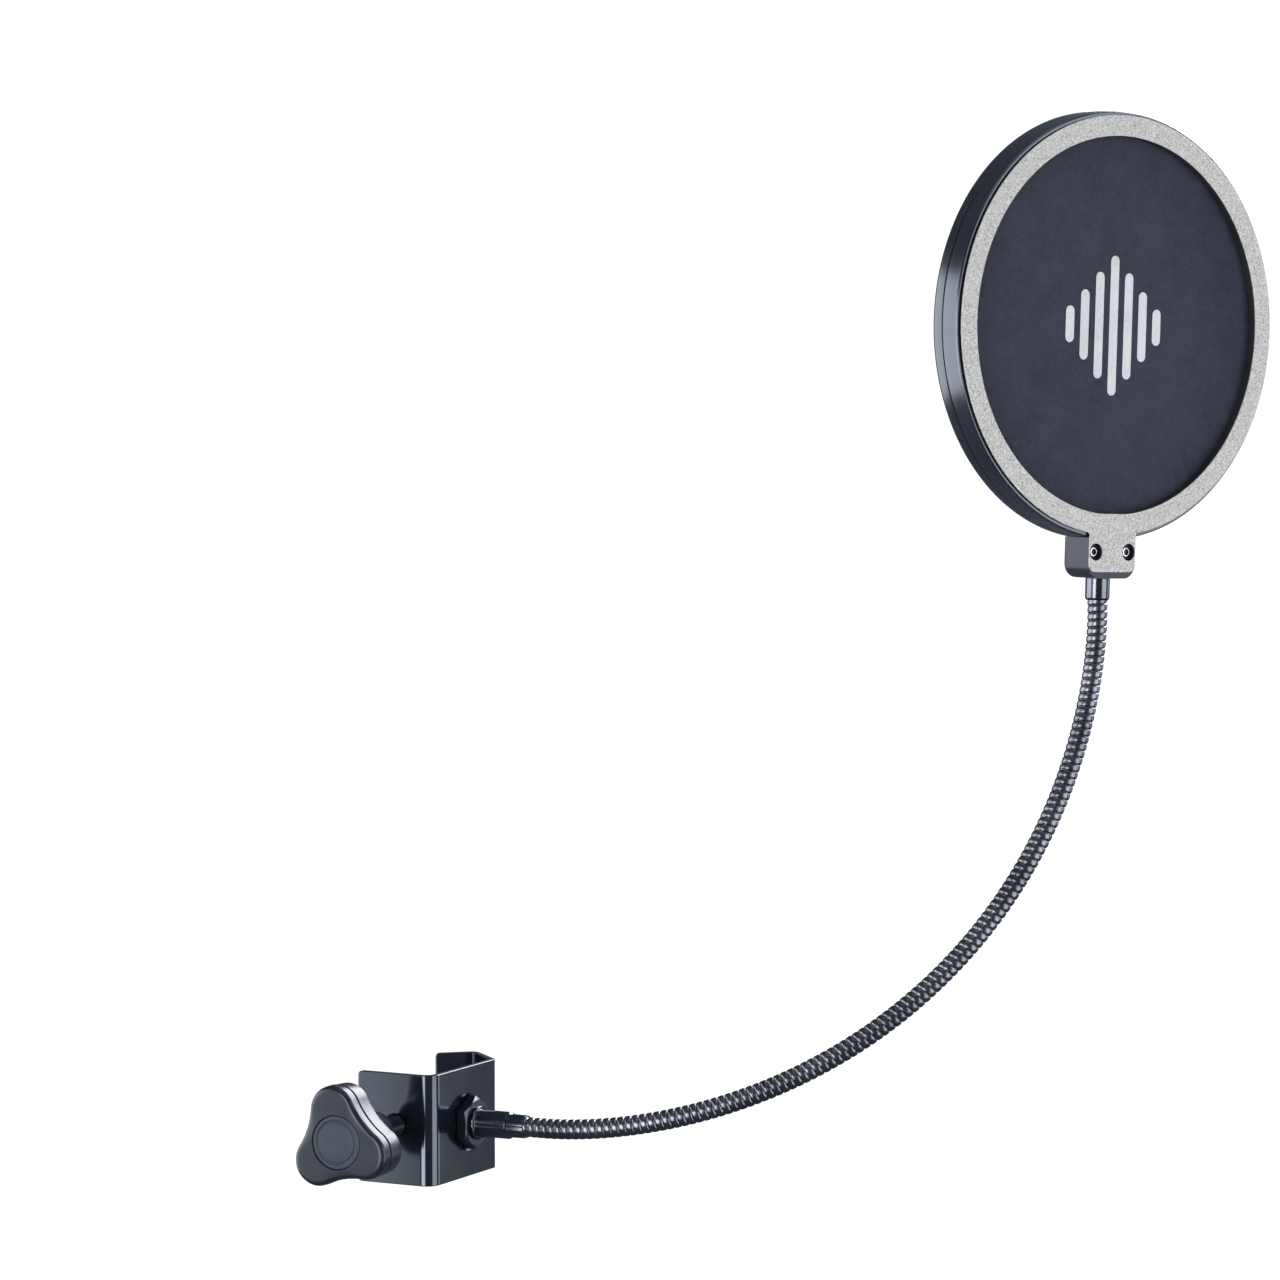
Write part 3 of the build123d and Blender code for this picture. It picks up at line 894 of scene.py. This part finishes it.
def lobed_radius(angle):
    """Distance from the knob's centre to its three-lobed outline."""
    lobe_reach, lobe_radius, lobe_turn = 20 * MM, 8.8 * MM, 11
    flank_reach = 13.2 * MM
    lobe_centre = lobe_reach - lobe_radius
    half_turn = math.pi / 3
    along, across = lobe_centre * math.cos(half_turn), lobe_centre * math.sin(half_turn)
    gap = flank_reach - along
    flank_radius = (across ** 2 + gap ** 2 - lobe_radius ** 2) / (2 * (lobe_radius - gap))
    flank_centre = flank_reach + flank_radius
    lobe_angle = math.radians(90 + lobe_turn)
    turn = (angle - lobe_angle + half_turn) % (2 * half_turn) - half_turn
    share = lobe_radius / (lobe_radius + flank_radius)
    touch_x = lobe_centre + (flank_centre * math.cos(half_turn) - lobe_centre) * share
    touch_y = flank_centre * math.sin(half_turn) * share
    if abs(turn) < math.atan2(touch_y, touch_x):
        side = lobe_centre * math.sin(turn)
        return lobe_centre * math.cos(turn) + math.sqrt(lobe_radius ** 2 - side ** 2)
    away = half_turn - abs(turn)
    side = flank_centre * math.sin(away)
    return flank_centre * math.cos(away) - math.sqrt(flank_radius ** 2 - side ** 2)


def knob():
    """Three-lobed knob: a flat face with rounded edges, a parting groove, a back and a hub."""
    face_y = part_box("knob")[0].y
    hub_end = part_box("knob")[1].y - face_y
    depth = 14 * MM
    recess, recess_depth = 9.55 * MM, 1.4 * MM
    soft = 2.0 * MM
    groove = 5.3 * MM
    back_edge = 1.6 * MM
    collar, collar_edge = 10.9 * MM, 10.3 * MM
    hub_root, hub, hub_face = 7.1 * MM, 6.6 * MM, 6.1 * MM
    bore, bore_depth = 4.15 * MM, 8 * MM
    front_steps, back_steps = 8, 6
    segments = 240
    angles = [2 * math.pi * number / segments for number in range(segments)]
    outline = [lobed_radius(angle) for angle in angles]
    rings = []

    def circle(radius, z):
        rings.append([(radius * math.cos(a), radius * math.sin(a), -z) for a in angles])

    def lobed(pull, z):
        rings.append([((full - pull) * math.cos(a), (full - pull) * math.sin(a), -z)
                      for a, full in zip(angles, outline)])

    circle(recess, recess_depth)
    circle(recess, 0.25 * MM)
    circle(recess + 0.25 * MM, 0)
    circle(recess + 0.5 * MM, 0)
    lobed(soft + 0.8 * MM, 0.05 * MM)
    for step in range(front_steps + 1):
        turn = math.pi / 2 * step / front_steps
        lobed(soft * (1 - math.sin(turn)), 0.15 * MM + soft * (1 - math.cos(turn)))
    # the groove, with the wall a little proud in front of it
    for pull, z in ((-0.1, -0.5), (0.1, -0.2), (0.9, 0), (0.9, 0.5), (0.3, 0.8), (0.1, 1.2)):
        lobed(pull * MM, groove + z * MM)
    lobed(0.3 * MM, depth - 2.2 * MM)
    for step in range(1, back_steps + 1):
        turn = math.pi / 2 * step / back_steps
        lobed(0.3 * MM + back_edge * (1 - math.cos(turn)), depth - back_edge * (1 - math.sin(turn)))
    circle(collar, depth)
    circle(collar_edge, depth + 0.5 * MM)
    circle(hub_root, hub_end - 1.2 * MM)
    circle(hub, hub_end - 0.35 * MM)
    circle(hub_face, hub_end)
    circle(bore, hub_end)
    circle(bore, hub_end - bore_depth)
    piece = skin("knob", rings, axis_place((0, face_y, screw_z), (0, -1, 0)), 40)
    keep_flats(piece)
    finish_piece(piece, "screw", "knob_plastic", knob_plastic, "knob")


def nuts():
    """Weld nut of the clamp screw, and the two nuts that hold the gooseneck's stud in the web."""
    along, out, back = (0, 1, 0), (1, 0, 0), (-1, 0, 0)
    screw_bore, stud_bore = 4.08 * MM, 4.05 * MM
    small, large = 13 * MM, 17 * MM
    piece = nut("weld_nut", (0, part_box("weld_nut")[0].y, screw_z), along, small, 6.5 * MM,
                screw_bore)
    finish_piece(piece, "clamp", "zinc_steel", zinc, "weld_nut")
    piece = nut("inner_nut", (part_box("inner_nut")[1].x, neck_y, 0), back, small, 3.0 * MM,
                stud_bore)
    finish_piece(piece, "clamp", "zinc_steel", zinc, "inner_nut")
    piece = nut("neck_nut", (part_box("neck_nut")[0].x, neck_y, 0), out, large, 3.6 * MM, stud_bore)
    finish_piece(piece, "clamp", "black_steel", nut_black, "neck_nut")


def toothed_washer():
    """External-tooth lock washer: every tooth is twisted, with one edge lifted off the web."""
    low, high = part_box("lock_washer")
    inner, root, tip = 4.1 * MM, 8.6 * MM, 10.4 * MM
    sheet = (high.x - low.x) * 0.55
    lift = (high.x - low.x) - sheet
    teeth, steps, gap_steps = 11, 14, 5
    rings = [[] for _ in range(6)]
    for number in range(teeth * steps):
        angle = 2 * math.pi * number / (teeth * steps)
        share = (number % steps) / (steps - gap_steps)
        reach = tip if share <= 1 else root + 0.02 * MM
        rise = lift * share if share <= 1 else 0.0
        section = ((inner, 0), (root, 0), (reach, rise),
                   (reach, rise + sheet), (root, sheet), (inner, sheet))
        for ring, (radius, z) in zip(rings, section):
            ring.append((radius * math.cos(angle), radius * math.sin(angle), z))
    piece = looped("washer", rings, axis_place((low.x, neck_y, 0), (1, 0, 0)), 25)
    finish_piece(piece, "clamp", "gooseneck_black", ferrule_black, "lock_washer")


def lower_ferrule():
    """Stud, collar and sleeve, with the sleeve's end crimped over the winding."""
    low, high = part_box("lower_ferrule")
    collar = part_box("neck_nut")[1].x
    collar_end = collar + 1.3 * MM
    stud = 4.0 * MM
    sleeve = 4.9 * MM
    sleeve_end = 33.2 * MM
    crimp = 4.15 * MM
    corners = [
        (0, low.x, 0), (stud - 0.5 * MM, low.x, 0), (stud, low.x + 0.5 * MM, 0),
        (stud, collar, 0), (high.z, collar, 0.15 * MM),
        (high.z, collar_end, 0.5 * MM), (sleeve, collar_end, 0.2 * MM),
        (sleeve, sleeve_end, 0.35 * MM), (crimp + 0.1 * MM, sleeve_end + 0.7 * MM, 0.2 * MM),
        (crimp, high.x, 0.2 * MM), (neck_radius, high.x, 0), (neck_radius, sleeve_end, 0),
        (0, sleeve_end, 0)]
    piece = lathe("lower_ferrule", rounded(corners, 4), axis_place((0, neck_y, 0), (1, 0, 0)),
                  96, False)
    dimples, dimple_depth = 8, 0.22 * MM
    for vertex in piece.data.vertices:
        radius = math.hypot(vertex.co.x, vertex.co.y)
        if vertex.co.z > sleeve_end + 0.6 * MM and radius > neck_radius + 0.2 * MM:
            angle = math.atan2(vertex.co.y, vertex.co.x)
            press = dimple_depth * max(0.0, math.cos(dimples * angle))
            vertex.co.x *= (radius - press) / radius
            vertex.co.y *= (radius - press) / radius
    finish_piece(piece, "clamp", "gooseneck_black", ferrule_black, "lower_ferrule")


def on_screw_axis(name, corners, y, steps, segments, closed=False):
    """Lathed piece on the clamp screw's axis, with its section's zero height at y."""
    place = axis_place((0, y, screw_z), (0, 1, 0))
    return lathe(name, rounded(corners, steps), place, segments, closed)


def clamp_screw():
    """M8 screw from inside the knob to the foot, and the stepped tip on which the foot turns."""
    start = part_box("knob")[0].y + 11.3 * MM
    shank_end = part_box("pressure_foot")[0].y - 1.0 * MM
    radius, pitch = 4.0 * MM, 1.25 * MM
    screw = threaded("clamp_screw", (0, start, screw_z), (0, 1, 0), shank_end - start, radius,
                     pitch)
    finish_piece(screw, "screw", "black_steel", nut_black, "clamp_screw")
    neck, button = 2.6 * MM, 3.6 * MM
    corners = [(0, -0.5 * MM, 0), (neck, -0.5 * MM, 0), (neck, 4 * MM, 0),
               (button, 4 * MM, 0.2 * MM), (button, 5.6 * MM, 0.3 * MM), (0, 5.6 * MM, 0)]
    tip = on_screw_axis("screw_tip", corners, shank_end, 3, 48)
    finish_piece(tip, "screw", "black_steel", nut_black)


def knob_cap():
    """Disc in the knob's face, with a shallow ring pressed into it."""
    radius = 9.45 * MM
    face, floor = 0.25 * MM, 1.35 * MM
    ring_in, ring_out, ring_floor = 7.2 * MM, 8.0 * MM, 0.55 * MM
    slope = 0.1 * MM
    corners = [(0, floor, 0), (radius, floor, 0), (radius, face, 0.3 * MM),
               (ring_out + slope, face, 0.2 * MM), (ring_out - slope, ring_floor, 0.2 * MM),
               (ring_in + slope, ring_floor, 0.2 * MM), (ring_in - slope, 0.3 * MM, 0.3 * MM),
               (0, 0.12 * MM, 0)]
    cap = on_screw_axis("knob_cap", corners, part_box("knob")[0].y, 4, 128)
    finish_piece(cap, "screw", "cap_plastic", cap_plastic, "knob_cap")


def pressure_foot():
    """Steel cup on the screw's tip, and the rubber pad on it."""
    low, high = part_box("pressure_foot")
    length = high.y - low.y
    throat, cup, lip = 2.68 * MM, 3.8 * MM, 2.8 * MM
    corners = [(throat, 0, 0.2 * MM), (6.3 * MM, 0, 0.3 * MM), (high.x, 1.2 * MM, 0.4 * MM),
               (high.x, length, 0.1 * MM), (cup, length, 0), (cup, lip, 0), (throat, lip, 0)]
    foot = on_screw_axis("pressure_foot", corners, low.y, 3, 96, True)
    finish_piece(foot, "foot", "zinc_steel", zinc, "pressure_foot")
    low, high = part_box("foot_pad")
    thick = 2 * MM
    corners = [(0, 0, 0), (high.x, 0, 0.1 * MM), (high.x, thick, 0.6 * MM), (0, thick, 0)]
    pad = on_screw_axis("foot_pad", corners, low.y, 4, 96)
    finish_piece(pad, "foot", "pad_rubber", pad_rubber, "foot_pad")


neck_y = float(pivots[0][1])
screw_z = middle("foot_pad").z
bracket()
nuts()
toothed_washer()
lower_ferrule()
knob()
clamp_screw()
knob_cap()
pressure_foot()
inserts = frame["nodes"]["tab_inserts"]
inserts.data.materials.clear()
inserts.data.materials.append(brass)


# ------------------------------------------------------------------ floor, light, camera

def stage():
    """Plain pale floor, well below the clamp, which sits up on its stand tube."""
    radius, thick, clearance = 1.2, 0.01, 0.3
    low, high = cad_box
    centre = (low + high) / 2
    section = [(0, 0), (radius, 0), (radius, -thick), (0, -thick)]
    place = Matrix.Translation((centre.x, centre.y, low.z - clearance))
    floor = lathe("floor", section, place, 128, False)
    material, _, shader = new_material("floor_white", (0.86, 0.86, 0.86), 0.9)
    shader.inputs["Specular IOR Level"].default_value = 0.0
    shader.inputs["Emission Color"].default_value = (1, 1, 1, 1)
    shader.inputs["Emission Strength"].default_value = 0.2
    floor.data.materials.append(material)
    floor.visible_glossy = False


def softbox(name, azimuth, elevation, distance, width, height, power):
    """Area light that faces the object; azimuth 0 stands on the -Y side, 90 on the +X side."""
    a, e = math.radians(azimuth), math.radians(elevation)
    target = (cad_box[0] + cad_box[1]) / 2
    way = Vector((math.sin(a) * math.cos(e), -math.cos(a) * math.cos(e), math.sin(e)))
    data = bpy.data.lights.new(name, "AREA")
    data.shape = "RECTANGLE"
    data.size = width
    data.size_y = height
    data.energy = power
    data.color = (0.95, 0.97, 1)
    lamp = bpy.data.objects.new(name, data)
    lamp.location = target + way * distance
    lamp.rotation_euler = (-way).to_track_quat("-Z", "Y").to_euler()
    lamp.visible_camera = False
    bpy.context.scene.collection.objects.link(lamp)


def surroundings():
    """White world for the background and the soft light; reflections see a dimmer one."""
    world = bpy.data.worlds.new("studio")
    bpy.context.scene.world = world
    world.use_nodes = True
    tree = world.node_tree
    tree.nodes.clear()
    out = tree.nodes.new("ShaderNodeOutputWorld")
    ray = tree.nodes.new("ShaderNodeLightPath")
    seen = None
    for output, colour, strength in (("Is Diffuse Ray", (1, 1, 1), 0.5),
                                     ("Is Glossy Ray", (0.7, 0.84, 1), 0.2),
                                     ("Is Camera Ray", (1, 1, 1), 1.1)):
        light = tree.nodes.new("ShaderNodeBackground")
        light.inputs["Color"].default_value = (*colour, 1)
        light.inputs["Strength"].default_value = strength
        if seen is None:
            seen = light.outputs["Background"]
            continue
        mix = tree.nodes.new("ShaderNodeMixShader")
        tree.links.new(ray.outputs[output], mix.inputs["Fac"])
        tree.links.new(seen, mix.inputs[1])
        tree.links.new(light.outputs["Background"], mix.inputs[2])
        seen = mix.outputs["Shader"]
    tree.links.new(seen, out.inputs["Surface"])


def camera():
    """Long lens on the knob's side, a little to the right and above the middle."""
    data = bpy.data.cameras.new("camera")
    data.sensor_width = 36
    data.lens = 135.5
    data.clip_start = 0.05
    data.clip_end = 50
    view = bpy.data.objects.new("camera", data)
    dip, swing = 3.74, 27.18
    view.location = (0.8589, -1.5261, 0.28715)
    view.rotation_euler = (math.radians(90 - dip), 0, math.radians(swing))
    bpy.context.scene.collection.objects.link(view)
    bpy.context.scene.camera = view


stage()
surroundings()
softbox("left", -41.5, 2, 1.6, 0.55, 1.5, 6.2)
softbox("front", -5, -4, 1.6, 0.75, 1.2, 24)
softbox("right", 91, -4, 1.6, 1.25, 1.8, 28)
softbox("far_left", -72, 0, 1.8, 1.7, 1.5, 34)
softbox("back", 165, 30, 1.8, 1.7, 1.0, 60)
softbox("web", 142, 0, 1.7, 0.5, 1.2, 4.4)
softbox("top", 40, 80, 1.5, 1.2, 1.2, 4)
camera()
bpy.context.scene.view_settings.view_transform = "Standard"
